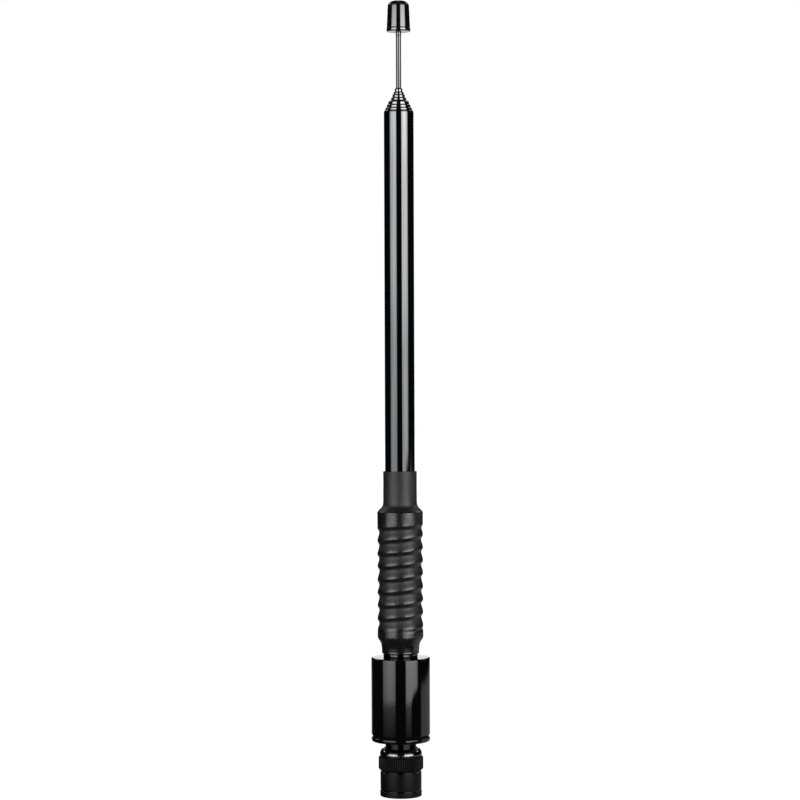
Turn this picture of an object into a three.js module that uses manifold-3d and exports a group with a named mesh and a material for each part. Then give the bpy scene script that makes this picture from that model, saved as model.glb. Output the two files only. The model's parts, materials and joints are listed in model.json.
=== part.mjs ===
// Telescopic whip antenna for a handheld receiver: a bayonet (BNC) plug, a base loading coil in a round
// housing, a flexible coil spring under a shrunk rubber sleeve, and a ten-section telescopic mast.
// Millimetres, +Z up along the mast, origin at the centre of the plug's open face.
import * as THREE from 'three';
import { mergeVertices } from 'three/addons/utils/BufferGeometryUtils.js';
import Module from 'manifold-3d';

const wasm = await Module();
wasm.setup();

// ---- driving dimensions ----

const TURN = Math.PI * 2;
const FIT = 0.05;                  // radial gap between pieces that slide or sit in one another
const STEP_GAP = 0.1;              // gap between stacked faces that touch

// facets per turn
const MAST_SIDES = 16;
const BASE_SIDES = 24;
const PLUG_SIDES = 32;
const COIL_SIDES = 12;

// coupling nut
const NUT_TOP = 15.6;
const NUT_SLEEVE_R = 6.65;
const NUT_LIP_R = 6.75;
const NUT_LIP_TOP = 1.9;
const NUT_LIP_CHAMFER = 0.15;
const NUT_GROOVE_DEPTH = 0.15;
const NUT_GROOVE_Z = [2.0, 2.2];
const NUT_BORE_R = 5.0;
const NUT_RELIEF_R = 5.75;
const NUT_SHOULDER_Z = 8.3;
const NUT_ROLL_UNDERSIDE = 13.7;
const NUT_ROLL_R = 6.82;
const NUT_ROLL_STEP_Z = [13.3, 13.4];
const NUT_ROLL_BASE = 13.9;
const NUT_THROAT_R = 5.15;
const NUT_THROAT_TOP = 15.2;
const KNURL_R = 7.25;
const KNURL_BOTTOM = 9.0;
const KNURL_TOP = 12.7;
const KNURL_RIDGES = 32;
const KNURL_DEPTH = 0.22;
const KNURL_FOOT_R = 6.9;
const KNURL_FOOT_Z = [8.6, 9.2];

// bayonet slots in the nut
const STUD_SLOT_WIDTH = 2.4;
const STUD_SLOT_R = 5.7;
const STUD_SLOT_INNER_R = 4.2;     // inside the bore, so that the slot cuts clean through its wall
const STUD_SLOT_START = -1;        // below the open face, for the same reason
const STUD_SLOT_ENTRY = 2.6;
const STUD_SLOT_ENTRY_TOP = 3.5;
const STUD_SLOT_RISE = 3.6;
const STUD_SLOT_SWEEP = TURN * 0.22;
const STUD_SLOT_RAMPS = 4;
const STUD_SLOT_OVERLAP = 0.15;

// plug body and contacts
const NECK_R = 5.0;
const FLANGE_R = 5.6;
const FLANGE_Z = [8.6, 10.2];
const SHANK_R = 4.0;
const SHANK_TOP = 23.5;
const CONTACT_R = 4.0;
const CONTACT_BORE_R = 3.5;
const CONTACT_FRONT = 2.4;
const CONTACT_REAR = 12.5;
const CONTACT_SLOT_TOP = 7.4;
const CONTACT_SLOT_WIDTH = 0.5;
const INSULATOR_Z = [8.0, 23.3];
const PIN_R = 0.68;
const PIN_TIP_R = 0.3;
const PIN_FRONT = 2.9;
const PIN_TAPER_TOP = 3.7;
const PIN_REAR = 24.8;
const GASKET_R = [4.05, 4.9];
const GASKET_Z = [7.1, 8.5];
const WASHER_R = [5.1, 5.65];
const LOWER_WASHER_Z = [10.3, 10.7];
const UPPER_WASHER_Z = [13.2, 13.6];
const WAVE_THICKNESS = 0.3;
const WAVES = 3;

// coil housing
const HOUSING_R = 9.5;
const HOUSING_BORE_R = 7.9;
const HOUSING_Z = [19.9, 45.0];
const HOUSING_ROOF = 2.5;
const HOUSING_CHAMFER = 0.25;
const HOUSING_FOOT_CHAMFER = 0.2;
const BASE_DISC_Z = [17.8, 19.2];
const BASE_SEAM_R = 9.1;
const BASE_SPIGOT_TOP = 24.0;

// loading coil
const FORMER_Z = [24.1, 36.5];
const FORMER_FLANGE_R = 5.6;
const FORMER_CORE_R = 3.5;
const FORMER_BORE_R = 2.2;
const FORMER_FOOT_R = 4.7;
const FORMER_FOOT_TOP = 26.0;
const FORMER_FLANGE = 0.6;
const LEAD_DOOR = [3, 2];
const COIL_R = 4.1;
const COIL_WIRE_R = 0.35;
const COIL_PITCH = 0.9;
const COIL_TURNS = 8.5;
const COIL_START = 27.3;
const LEAD_R = 0.3;
const LEAD_STEPS = 14;
const COIL_WIRE_SIDES = 5;

// whip stud and its nut
const STUD_THREAD_R = 3.0;
const STUD_CHAMFER = 0.3;
const STUD_BOTTOM = 37.4;
const STUD_COLLAR_R = 5.55;
const STUD_SHOULDER_Z = [49.8, 51.4];
const STUD_FLANGE_TOP = 53.9;
const STUD_NUT_FLATS = 10;
const STUD_NUT_Z = [38.9, 42.0];
const LOCK_WASHER_R = 5.0;
const LOCK_WASHER_Z = [42.05, 42.45];
const LOCK_WASHER_GAP = 0.8;

// flexible spring and its sleeve
const SPRING_R = 5.55;
const SPRING_WIRE_R = 1.2;
const SPRING_WIRE_SIDES = 6;
const SPRING_PITCH = 4.2;
const SPRING_TURNS = 7.3;
const SPRING_START = 55.3;
const SPRING_END_R = 6.75;
const STUB_R = 4.05;
const LOWER_STUB_TOP = 61.0;
const UPPER_STUB_BOTTOM = 80.0;
const BRAID_R = [0.4, 1.3];
const FERRULE_Z = [87.4, 92.5];
const FERRULE_SHOULDER = 90.9;
const FERRULE_SOCKET_FLOOR = 88.8;
const FERRULE_RIM = 0.3;
const SLEEVE_Z = [46.3, 105.2];
const SLEEVE_FOOT_R = 6.15;
const SLEEVE_FOOT_TOP = [6.3, 49.5];
const SLEEVE_BODY_R = 7.42;
const SLEEVE_BODY_Z = [51.2, 92.0];
const SLEEVE_FLARE = [[6.95, 92.6], [6.25, 93.25]];
const SLEEVE_COLLAR_R = 5.45;
const SLEEVE_COLLAR_BOTTOM = 94.5;
const SLEEVE_COLLAR_BORE_BOTTOM = 93.0;
const SLEEVE_BORE_R = 6.86;

// mast: outer diameter and top height of each tube, the outermost first
const MAST_TUBES = [
  { diameter: 9.6, top: 221.5 },
  { diameter: 8.65, top: 222.4 },
  { diameter: 7.7, top: 223.4 },
  { diameter: 6.75, top: 224.5 },
  { diameter: 5.8, top: 224.8 },
  { diameter: 4.9, top: 225.7 },
  { diameter: 4.05, top: 226.7 },
  { diameter: 3.3, top: 227.5 },
  { diameter: 2.5, top: 228.7 },
];
const TUBE_WALL = 0.2;
const OUTER_TUBE_BOTTOM = 89.0;
const END_PLUG_TOP = 95.4;
const END_PLUG_BORE_R = 0.8;
const END_PLUG_GAP = 0.03;
const INNER_TUBE_BOTTOM = 96.0;
const BELL_HEIGHT = 0.9;
const MOUTH_HEIGHT = 1.4;          // the length over which a tube narrows to its mouth
const MOUTH_LIP = 0.4;
const MOUTH_SHOULDER = 0.7;
const MOUTH_ROUND = 0.2;
const MOUTH_ROUND_SHARE = 0.25;    // of the step between the tube and its mouth
const CONTACT_SPRING_LENGTH = 9.0;
const CONTACT_SPRING_GAP_SIDES = 2;
const CONTACT_SPRING_CLEARANCE = 0.02;

// tip
const ROD_R = 0.825;
const ROD_HEAD_R = 0.96;
const ROD_BOTTOM = 114.6;
const ROD_CONTACT_LENGTH = 7.0;
const CAP_Z = [246.8, 256.9];
const CAP_BASE_R = 3.87;
const CAP_CHAMFER = 0.3;
const CAP_CROWN = [[3.45, 254.9], [3.2, 255.65], [2.7, 256.2], [1.8, 256.65], [0.9, 256.85]];
const CAP_BORE_DEPTH = 6.5;

// ---- finishes ----

const finish = (color, roughness, metalness) =>
  new THREE.MeshStandardMaterial({ color, roughness, metalness });

const BLACK_CHROME = finish(0x0b0b0c, 0.18, 0.6);
const BLACK_PAINT = finish(0x0d0d0e, 0.3, 0.3);
const BLACK_PLATING = finish(0x181819, 0.5, 0.5);
const BLACK_PLASTIC = finish(0x090909, 0.3, 0.0);
const SHRINK_RUBBER = finish(0x2b2c2e, 0.7, 0.0);
const SPRING_STEEL = finish(0x8b8d90, 0.35, 1.0);
const BRASS = finish(0xb59a55, 0.35, 1.0);
const GOLD_PLATING = finish(0xd4aa4d, 0.25, 1.0);
const COPPER = finish(0xa8572d, 0.35, 1.0);
const WHITE_POLYMER = finish(0xe8e6df, 0.5, 0.0);
const TAN_POLYMER = finish(0x9b8a68, 0.6, 0.0);
const RED_SILICONE = finish(0x8a3a2a, 0.7, 0.0);

// ---- shape helpers ----

// A solid of revolution about Z from a closed outline of [radius, height] points.
function revolve(outline, sides) {
  const points = outline.map(([r, z]) => new THREE.Vector2(r, z));
  points.push(points[0].clone());
  const geometry = new THREE.LatheGeometry(points, sides);
  return facingOut(geometry.rotateX(Math.PI / 2));
}

// Merges the shared vertices and turns every face outwards.
function facingOut(geometry) {
  geometry.deleteAttribute('normal');
  geometry.deleteAttribute('uv');
  const solid = mergeVertices(geometry, 1e-4);
  if (signedVolume(solid) < 0) {
    const index = solid.index.array;
    for (let i = 0; i < index.length; i += 3) {
      [index[i], index[i + 1]] = [index[i + 1], index[i]];
    }
  }
  return solid;
}

function signedVolume(geometry) {
  const corner = [new THREE.Vector3(), new THREE.Vector3(), new THREE.Vector3()];
  const index = geometry.index.array;
  let volume = 0;
  for (let i = 0; i < index.length; i += 3) {
    corner.forEach((point, k) => point.fromBufferAttribute(geometry.attributes.position, index[i + k]));
    volume += corner[0].dot(corner[1].cross(corner[2])) / 6;
  }
  return volume;
}

// A plain ring between two radii and two heights.
function ring([inner, outer], [bottom, top], sides) {
  return revolve([[inner, bottom], [outer, bottom], [outer, top], [inner, top]], sides);
}

// A flat outline raised along Z.
function raise(shape, [bottom, top]) {
  const geometry = new THREE.ExtrudeGeometry(shape, { depth: top - bottom, bevelEnabled: false });
  return facingOut(geometry.translate(0, 0, bottom));
}

// A regular polygon outline with its first corner on +X.
function polygon(radius, sides) {
  const corners = [];
  for (let i = 0; i < sides; i += 1) {
    const angle = (i / sides) * TURN;
    corners.push(new THREE.Vector2(radius * Math.cos(angle), radius * Math.sin(angle)));
  }
  return corners;
}

// A round wire along a curve.
function wire(curve, radius, steps, sides) {
  const section = new THREE.Shape(polygon(radius, sides));
  return facingOut(new THREE.ExtrudeGeometry(section, { steps, extrudePath: curve, bevelEnabled: false }));
}

// A right-handed helix about Z that starts on +X.
class Helix extends THREE.Curve {
  constructor(radius, pitch, turns, start) {
    super();
    Object.assign(this, { radius, pitch, turns, start });
  }

  getPoint(t, target = new THREE.Vector3()) {
    const angle = t * this.turns * TURN;
    return target.set(
      this.radius * Math.cos(angle),
      this.radius * Math.sin(angle),
      this.start + t * this.turns * this.pitch,
    );
  }
}

function toManifold(geometry) {
  return new wasm.Manifold(new wasm.Mesh({
    numProp: 3,
    vertProperties: new Float32Array(geometry.attributes.position.array),
    triVerts: new Uint32Array(geometry.index.array),
  }));
}

function fromManifold(manifold) {
  const mesh = manifold.getMesh();
  const geometry = new THREE.BufferGeometry();
  geometry.setAttribute('position', new THREE.BufferAttribute(new Float32Array(mesh.vertProperties), 3));
  geometry.setIndex(new THREE.BufferAttribute(new Uint32Array(mesh.triVerts), 1));
  return geometry;
}

const cut = (body, ...tools) => fromManifold(
  tools.reduce((rest, tool) => rest.subtract(toManifold(tool)), toManifold(body)));

const join = (body, ...others) => fromManifold(
  others.reduce((sum, other) => sum.add(toManifold(other)), toManifold(body)));

function block([sizeX, sizeY, sizeZ], [x, y, z]) {
  return facingOut(new THREE.BoxGeometry(sizeX, sizeY, sizeZ).translate(x, y, z));
}

// ---- the object ----

const antenna = new THREE.Group();

function add(name, geometry, material) {
  const mesh = new THREE.Mesh(geometry, material);
  mesh.name = name;
  antenna.add(mesh);
}

// The nut's sleeve, rolled shoulder and bores, before the knurl and the slots.
function nutShell() {
  const rollR = NUT_TOP - NUT_ROLL_BASE;
  const roll = [0.35, 0.7, 1].map((share) => {
    const angle = share * Math.PI / 2;
    return [
      NUT_ROLL_R - rollR * (1 - Math.cos(angle)),
      NUT_ROLL_BASE + rollR * Math.sin(angle),
    ];
  });
  return revolve([
    [NUT_BORE_R, 0],
    [NUT_LIP_R - NUT_LIP_CHAMFER, 0],
    [NUT_LIP_R, NUT_LIP_CHAMFER],
    [NUT_LIP_R, NUT_LIP_TOP],
    [NUT_SLEEVE_R - NUT_GROOVE_DEPTH, NUT_GROOVE_Z[0]],
    [NUT_SLEEVE_R, NUT_GROOVE_Z[1]],
    [NUT_SLEEVE_R, NUT_ROLL_STEP_Z[0]],
    [NUT_ROLL_R, NUT_ROLL_STEP_Z[1]],
    [NUT_ROLL_R, NUT_ROLL_BASE],
    ...roll,
    [NUT_THROAT_R, NUT_THROAT_TOP],
    [NUT_THROAT_R, NUT_ROLL_UNDERSIDE],
    [NUT_RELIEF_R, NUT_ROLL_UNDERSIDE],
    [NUT_RELIEF_R, NUT_SHOULDER_Z],
    [NUT_BORE_R, NUT_SHOULDER_Z],
  ], PLUG_SIDES);
}

// A straight-knurled band with a bevelled foot.
function knurledBand() {
  const corners = [];
  for (let i = 0; i < KNURL_RIDGES; i += 1) {
    for (const [offset, radius] of [[0, KNURL_R], [0.5, KNURL_R - KNURL_DEPTH]]) {
      const angle = ((i + offset) / KNURL_RIDGES) * TURN;
      corners.push(new THREE.Vector2(radius * Math.cos(angle), radius * Math.sin(angle)));
    }
  }
  const shape = new THREE.Shape(corners);
  const coreR = (NUT_SLEEVE_R + NUT_RELIEF_R) / 2;
  shape.holes.push(new THREE.Path(polygon(coreR, PLUG_SIDES)));
  const foot = ring([coreR, KNURL_FOOT_R], KNURL_FOOT_Z, PLUG_SIDES);
  return join(raise(shape, [KNURL_BOTTOM, KNURL_TOP]), foot);
}

// A flat outline bent round the nut's bore: x runs round the bore, y up it.
function bentPrism(outline, entryAngle) {
  const shape = new THREE.Shape(outline.map(([x, z]) => new THREE.Vector2(x, z)));
  const depth = STUD_SLOT_R - STUD_SLOT_INNER_R;
  const geometry = new THREE.ExtrudeGeometry(shape, { depth, bevelEnabled: false });
  const position = geometry.attributes.position;
  for (let i = 0; i < position.count; i += 1) {
    const angle = entryAngle + position.getX(i) / NUT_BORE_R;
    const radius = STUD_SLOT_INNER_R + position.getZ(i);
    position.setXYZ(i, radius * Math.cos(angle), radius * Math.sin(angle), position.getY(i));
  }
  return facingOut(geometry);
}

// The cutters for one bayonet slot: in from the open face, then up round the bore in short ramps.
function bayonetSlot(entryAngle) {
  const half = STUD_SLOT_WIDTH / 2;
  const slotEnd = STUD_SLOT_SWEEP * NUT_BORE_R + half;
  const pieces = [bentPrism([
    [-half, STUD_SLOT_START],
    [half, STUD_SLOT_START],
    [half, STUD_SLOT_ENTRY_TOP],
    [-half, STUD_SLOT_ENTRY_TOP],
  ], entryAngle)];
  for (let k = 0; k < STUD_SLOT_RAMPS; k += 1) {
    const overlap = k > 0 ? STUD_SLOT_OVERLAP : 0;
    const x0 = -half + (slotEnd + half) * k / STUD_SLOT_RAMPS - overlap;
    const x1 = -half + (slotEnd + half) * (k + 1) / STUD_SLOT_RAMPS;
    const z0 = STUD_SLOT_ENTRY + STUD_SLOT_RISE * k / STUD_SLOT_RAMPS;
    const z1 = STUD_SLOT_ENTRY + STUD_SLOT_RISE * (k + 1) / STUD_SLOT_RAMPS;
    pieces.push(bentPrism([[x0, z0 - half], [x1, z1 - half], [x1, z1 + half], [x0, z0 + half]], entryAngle));
  }
  return pieces;
}

function couplingNut() {
  const body = join(nutShell(), knurledBand());
  return cut(body, ...bayonetSlot(TURN / 4), ...bayonetSlot(TURN * 3 / 4));
}

// A flat spring ring bent into waves.
function waveWasher() {
  const middle = (LOWER_WASHER_Z[1] + UPPER_WASHER_Z[0]) / 2;
  const height = UPPER_WASHER_Z[0] - LOWER_WASHER_Z[1] - 2 * STEP_GAP;
  const swing = (height - WAVE_THICKNESS) / 2;
  const geometry = ring(WASHER_R, [middle - WAVE_THICKNESS / 2, middle + WAVE_THICKNESS / 2], PLUG_SIDES);
  const position = geometry.attributes.position;
  for (let i = 0; i < position.count; i += 1) {
    const angle = Math.atan2(position.getY(i), position.getX(i));
    position.setZ(i, position.getZ(i) + swing * Math.cos(WAVES * angle));
  }
  return geometry;
}

function plugBody() {
  const seatR = CONTACT_R + FIT;
  return revolve([
    [seatR, FLANGE_Z[0]],
    [FLANGE_R, FLANGE_Z[0]],
    [FLANGE_R, FLANGE_Z[1]],
    [NECK_R, FLANGE_Z[1]],
    [NECK_R, BASE_DISC_Z[0] - FIT],
    [SHANK_R, BASE_DISC_Z[0] - FIT],
    [SHANK_R, SHANK_TOP],
    [CONTACT_BORE_R, SHANK_TOP],
    [CONTACT_BORE_R, CONTACT_REAR + FIT],
    [seatR, CONTACT_REAR + FIT],
  ], PLUG_SIDES);
}

// The slotted outer contact: a tube whose front is split into spring fingers.
function outerContact() {
  const slotHeight = CONTACT_SLOT_TOP;
  const slotZ = CONTACT_SLOT_TOP - slotHeight / 2;
  const slot = block([3 * CONTACT_R, CONTACT_SLOT_WIDTH, slotHeight], [0, 0, slotZ]);
  const crossSlot = slot.clone().rotateZ(TURN / 4);
  return cut(ring([CONTACT_BORE_R, CONTACT_R], [CONTACT_FRONT, CONTACT_REAR], PLUG_SIDES), slot, crossSlot);
}

function insulator() {
  return ring([PIN_R + FIT, CONTACT_BORE_R - FIT], INSULATOR_Z, PLUG_SIDES);
}

function centrePin() {
  return revolve([
    [0, PIN_FRONT],
    [PIN_TIP_R, PIN_FRONT],
    [PIN_R, PIN_TAPER_TOP],
    [PIN_R, PIN_REAR],
    [0, PIN_REAR],
  ], COIL_SIDES);
}

function housingBase() {
  const shankSeat = SHANK_R + FIT;
  return revolve([
    [shankSeat, BASE_DISC_Z[0]],
    [HOUSING_R - HOUSING_CHAMFER, BASE_DISC_Z[0]],
    [HOUSING_R, BASE_DISC_Z[0] + HOUSING_CHAMFER],
    [HOUSING_R, BASE_DISC_Z[1]],
    [BASE_SEAM_R, BASE_DISC_Z[1]],
    [BASE_SEAM_R, HOUSING_Z[0] - FIT],
    [HOUSING_BORE_R - FIT, HOUSING_Z[0] - FIT],
    [HOUSING_BORE_R - FIT, BASE_SPIGOT_TOP],
    [shankSeat, BASE_SPIGOT_TOP],
  ], BASE_SIDES);
}

function coilHousing() {
  const [bottom, top] = HOUSING_Z;
  const studHole = STUD_THREAD_R + FIT;
  return revolve([
    [HOUSING_BORE_R, bottom],
    [HOUSING_R - HOUSING_FOOT_CHAMFER, bottom],
    [HOUSING_R, bottom + HOUSING_FOOT_CHAMFER],
    [HOUSING_R, top - HOUSING_CHAMFER],
    [HOUSING_R - HOUSING_CHAMFER, top],
    [studHole, top],
    [studHole, top - HOUSING_ROOF],
    [HOUSING_BORE_R, top - HOUSING_ROOF],
  ], BASE_SIDES);
}

// The bobbin: a foot ring on the base's spigot, two flanges and a hollow core.
function coilFormer() {
  const [bottom, top] = FORMER_Z;
  const body = revolve([
    [FORMER_FOOT_R, bottom],
    [FORMER_FLANGE_R, bottom],
    [FORMER_FLANGE_R, FORMER_FOOT_TOP + FORMER_FLANGE],
    [FORMER_CORE_R, FORMER_FOOT_TOP + FORMER_FLANGE],
    [FORMER_CORE_R, top - FORMER_FLANGE],
    [FORMER_FLANGE_R, top - FORMER_FLANGE],
    [FORMER_FLANGE_R, top],
    [FORMER_BORE_R, top],
    [FORMER_BORE_R, FORMER_FOOT_TOP],
    [FORMER_FOOT_R, FORMER_FOOT_TOP],
  ], BASE_SIDES);
  const doorHeight = 2 * (FORMER_FOOT_TOP - bottom);
  return cut(body, block([...LEAD_DOOR, doorHeight], [FORMER_FLANGE_R, 0, bottom]));
}

function loadingCoil() {
  const helix = new Helix(COIL_R, COIL_PITCH, COIL_TURNS, COIL_START);
  return wire(helix, COIL_WIRE_R, Math.round(COIL_TURNS * COIL_SIDES), COIL_WIRE_SIDES);
}

// The lead from the centre pin, out through the former's foot and up to the coil's first turn.
function feedLead() {
  const outside = FORMER_FLANGE_R + 2 * COIL_WIRE_R;
  const route = new THREE.CatmullRomCurve3([
    new THREE.Vector3(PIN_R + COIL_WIRE_R + 0.1, 0, PIN_REAR - 0.4),
    new THREE.Vector3(2.6, 0, 25.0),
    new THREE.Vector3(4.6, 0, 25.0),
    new THREE.Vector3(outside, 0, 25.4),
    new THREE.Vector3(outside, -0.6, 26.8),
    new THREE.Vector3(5.3, -0.9, COIL_START + 0.2),
    new THREE.Vector3(COIL_R + 0.15, -0.55, COIL_START),
  ]);
  return wire(route, LEAD_R, LEAD_STEPS, COIL_WIRE_SIDES);
}

// The lead from the coil's last turn, over the former's top flange to the foot of the stud.
function topLead() {
  const outside = -(FORMER_FLANGE_R + 2 * COIL_WIRE_R);
  const coilEnd = COIL_START + COIL_PITCH * COIL_TURNS;
  const route = new THREE.CatmullRomCurve3([
    new THREE.Vector3(-COIL_R - 0.2, -0.6, coilEnd),
    new THREE.Vector3(-5.2, -1.1, coilEnd),
    new THREE.Vector3(outside, -0.8, coilEnd + 0.6),
    new THREE.Vector3(outside, -0.2, 36.6),
    new THREE.Vector3(-5.2, 0, 37.1),
    new THREE.Vector3(-STUD_THREAD_R - 0.5, 0, 37.9),
  ]);
  return wire(route, LEAD_R, LEAD_STEPS, COIL_WIRE_SIDES);
}

// The stud that joins the housing to the spring: thread below, collar, flange, and a stub inside the spring.
function whipStud() {
  return revolve([
    [0, STUD_BOTTOM],
    [STUD_THREAD_R - STUD_CHAMFER, STUD_BOTTOM],
    [STUD_THREAD_R, STUD_BOTTOM + STUD_CHAMFER],
    [STUD_THREAD_R, HOUSING_Z[1] + FIT],
    [STUD_COLLAR_R, HOUSING_Z[1] + FIT],
    [STUD_COLLAR_R, STUD_SHOULDER_Z[0]],
    [SPRING_END_R, STUD_SHOULDER_Z[1]],
    [SPRING_END_R, STUD_FLANGE_TOP],
    [STUB_R, STUD_FLANGE_TOP],
    [STUB_R, LOWER_STUB_TOP],
    [0, LOWER_STUB_TOP],
  ], BASE_SIDES);
}

function studNut() {
  const shape = new THREE.Shape(polygon(STUD_NUT_FLATS / Math.sqrt(3), 6));
  shape.holes.push(new THREE.Path(polygon(STUD_THREAD_R + FIT, BASE_SIDES)));
  return raise(shape, STUD_NUT_Z);
}

// A ring washer split by a straight gap.
function lockWasher() {
  const body = ring([STUD_THREAD_R + FIT, LOCK_WASHER_R], LOCK_WASHER_Z, BASE_SIDES);
  return cut(body, block([LOCK_WASHER_R, LOCK_WASHER_GAP, 2], [LOCK_WASHER_R, 0, LOCK_WASHER_Z[0]]));
}

function flexSpring() {
  const helix = new Helix(SPRING_R, SPRING_PITCH, SPRING_TURNS, SPRING_START);
  return wire(helix, SPRING_WIRE_R, Math.round(SPRING_TURNS * COIL_SIDES), SPRING_WIRE_SIDES);
}

// The cup that holds the mast's foot, with a stub inside the spring.
function springFerrule() {
  const socketR = MAST_TUBES[0].diameter / 2 + FIT;
  return revolve([
    [0, UPPER_STUB_BOTTOM],
    [STUB_R, UPPER_STUB_BOTTOM],
    [STUB_R, FERRULE_Z[0]],
    [SPRING_END_R, FERRULE_Z[0]],
    [SPRING_END_R, FERRULE_SHOULDER],
    [socketR + FERRULE_RIM, FERRULE_Z[1]],
    [socketR, FERRULE_Z[1]],
    [socketR, FERRULE_SOCKET_FLOOR],
    [0, FERRULE_SOCKET_FLOOR],
  ], BASE_SIDES);
}

// The shrunk sleeve: foot on the stud's collar, body over the spring, flare and collar on the mast.
function shrinkSleeve() {
  const [bottom, top] = SLEEVE_Z;
  const footBore = STUD_COLLAR_R + FIT;
  const collarBore = MAST_TUBES[0].diameter / 2 + 2 * FIT;
  return revolve([
    [footBore, bottom],
    [SLEEVE_FOOT_R, bottom],
    SLEEVE_FOOT_TOP,
    [SLEEVE_BODY_R, SLEEVE_BODY_Z[0]],
    [SLEEVE_BODY_R, SLEEVE_BODY_Z[1]],
    ...SLEEVE_FLARE,
    [SLEEVE_COLLAR_R, SLEEVE_COLLAR_BOTTOM],
    [SLEEVE_COLLAR_R, top],
    [collarBore, top],
    [collarBore, SLEEVE_COLLAR_BORE_BOTTOM],
    [SLEEVE_BORE_R, FERRULE_SHOULDER + STEP_GAP],
    [SLEEVE_BORE_R, STUD_SHOULDER_Z[1] - STEP_GAP],
    [footBore, STUD_SHOULDER_Z[0] - STEP_GAP],
  ], BASE_SIDES);
}

// One mast tube: a belled foot that can't leave the tube around it, and a mouth rolled in over the
// tube inside it.
function mastTube(index) {
  const { diameter, top } = MAST_TUBES[index];
  const outer = diameter / 2;
  const bore = outer - TUBE_WALL;
  const nextOuter = index + 1 < MAST_TUBES.length ? MAST_TUBES[index + 1].diameter / 2 : ROD_R;
  const mouth = nextOuter + FIT;
  const foot = index === 0
    ? [[bore, OUTER_TUBE_BOTTOM], [outer, OUTER_TUBE_BOTTOM]]
    : bellFoot(bore, outer, MAST_TUBES[index - 1].diameter / 2 - TUBE_WALL);
  const round = MOUTH_ROUND_SHARE * (outer - mouth);
  return revolve([
    ...foot,
    [outer, top - MOUTH_SHOULDER],
    [outer - round, top - MOUTH_ROUND],
    [mouth + round, top],
    [mouth, top],
    [mouth, top - MOUTH_LIP],
    [bore, top - MOUTH_HEIGHT],
  ], MAST_SIDES);
}

function bellFoot(bore, outer, guideBore) {
  const bell = guideBore - FIT;
  return [
    [bore, INNER_TUBE_BOTTOM],
    [bell, INNER_TUBE_BOTTOM],
    [bell, INNER_TUBE_BOTTOM + BELL_HEIGHT],
    [outer, INNER_TUBE_BOTTOM + BELL_HEIGHT],
  ];
}

// A split contact spring between a section and the one inside it: a ring with a gap of a few facets.
function contactSpring(insideR, guideBore, headTop, length) {
  const lastSide = MAST_SIDES - CONTACT_SPRING_GAP_SIDES;
  const arc = (radius) => polygon(radius, MAST_SIDES).slice(0, lastSide + 1);
  const inner = insideR + CONTACT_SPRING_CLEARANCE;
  const shape = new THREE.Shape([...arc(guideBore - FIT), ...arc(inner).reverse()]);
  return raise(shape, [headTop + STEP_GAP, headTop + STEP_GAP + length]);
}

function endPlug() {
  const radius = MAST_TUBES[0].diameter / 2 - TUBE_WALL - END_PLUG_GAP;
  return ring([END_PLUG_BORE_R, radius], [OUTER_TUBE_BOTTOM, END_PLUG_TOP], MAST_SIDES);
}

function tipRod() {
  const headTop = ROD_BOTTOM + BELL_HEIGHT;
  const top = CAP_Z[0] + CAP_BORE_DEPTH - STEP_GAP;
  return revolve([
    [0, ROD_BOTTOM],
    [ROD_HEAD_R, ROD_BOTTOM],
    [ROD_HEAD_R, headTop],
    [ROD_R, headTop],
    [ROD_R, top],
    [0, top],
  ], MAST_SIDES);
}

// The tip cap: a slightly tapered thimble with a rounded crown and a blind bore for the rod.
function tipCap() {
  const [bottom, top] = CAP_Z;
  const bore = ROD_R + FIT;
  return revolve([
    [bore, bottom],
    [CAP_BASE_R - CAP_CHAMFER, bottom],
    [CAP_BASE_R, bottom + CAP_CHAMFER],
    ...CAP_CROWN,
    [0, top],
    [0, bottom + CAP_BORE_DEPTH],
    [bore, bottom + CAP_BORE_DEPTH],
  ], MAST_SIDES);
}

// ---- assembly, from the plug up ----

add('coupling_nut', couplingNut(), BLACK_PLATING);
add('thrust_washer_upper', ring(WASHER_R, UPPER_WASHER_Z, PLUG_SIDES), SPRING_STEEL);
add('wave_washer', waveWasher(), SPRING_STEEL);
add('thrust_washer_lower', ring(WASHER_R, LOWER_WASHER_Z, PLUG_SIDES), SPRING_STEEL);

add('plug_body', plugBody(), BLACK_CHROME);
add('plug_outer_contact', outerContact(), SPRING_STEEL);
add('plug_insulator', insulator(), WHITE_POLYMER);
add('plug_centre_pin', centrePin(), GOLD_PLATING);
add('plug_gasket', ring(GASKET_R, GASKET_Z, PLUG_SIDES), RED_SILICONE);

add('housing_base', housingBase(), BLACK_PAINT);
add('coil_housing', coilHousing(), BLACK_PAINT);
add('coil_former', coilFormer(), TAN_POLYMER);
add('loading_coil', loadingCoil(), COPPER);
add('coil_feed_lead', feedLead(), COPPER);
add('coil_top_lead', topLead(), COPPER);
add('whip_stud', whipStud(), BLACK_CHROME);
add('stud_nut', studNut(), SPRING_STEEL);
add('stud_lock_washer', lockWasher(), SPRING_STEEL);

add('flex_spring', flexSpring(), SPRING_STEEL);
const braidSpan = [LOWER_STUB_TOP + STEP_GAP, UPPER_STUB_BOTTOM - STEP_GAP];
add('bonding_braid', ring(BRAID_R, braidSpan, COIL_SIDES), COPPER);
add('shrink_sleeve', shrinkSleeve(), SHRINK_RUBBER);
add('spring_ferrule', springFerrule(), BRASS);

add('mast_end_plug', endPlug(), BRASS);
MAST_TUBES.forEach((tube, index) => {
  add(`mast_tube_${index + 1}`, mastTube(index), BLACK_CHROME);
  if (index > 0) {
    const guideBore = MAST_TUBES[index - 1].diameter / 2 - TUBE_WALL;
    const bellTop = INNER_TUBE_BOTTOM + BELL_HEIGHT;
    const spring = contactSpring(tube.diameter / 2, guideBore, bellTop, CONTACT_SPRING_LENGTH);
    add(`mast_contact_${index + 1}`, spring, BRASS);
  }
});

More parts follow.
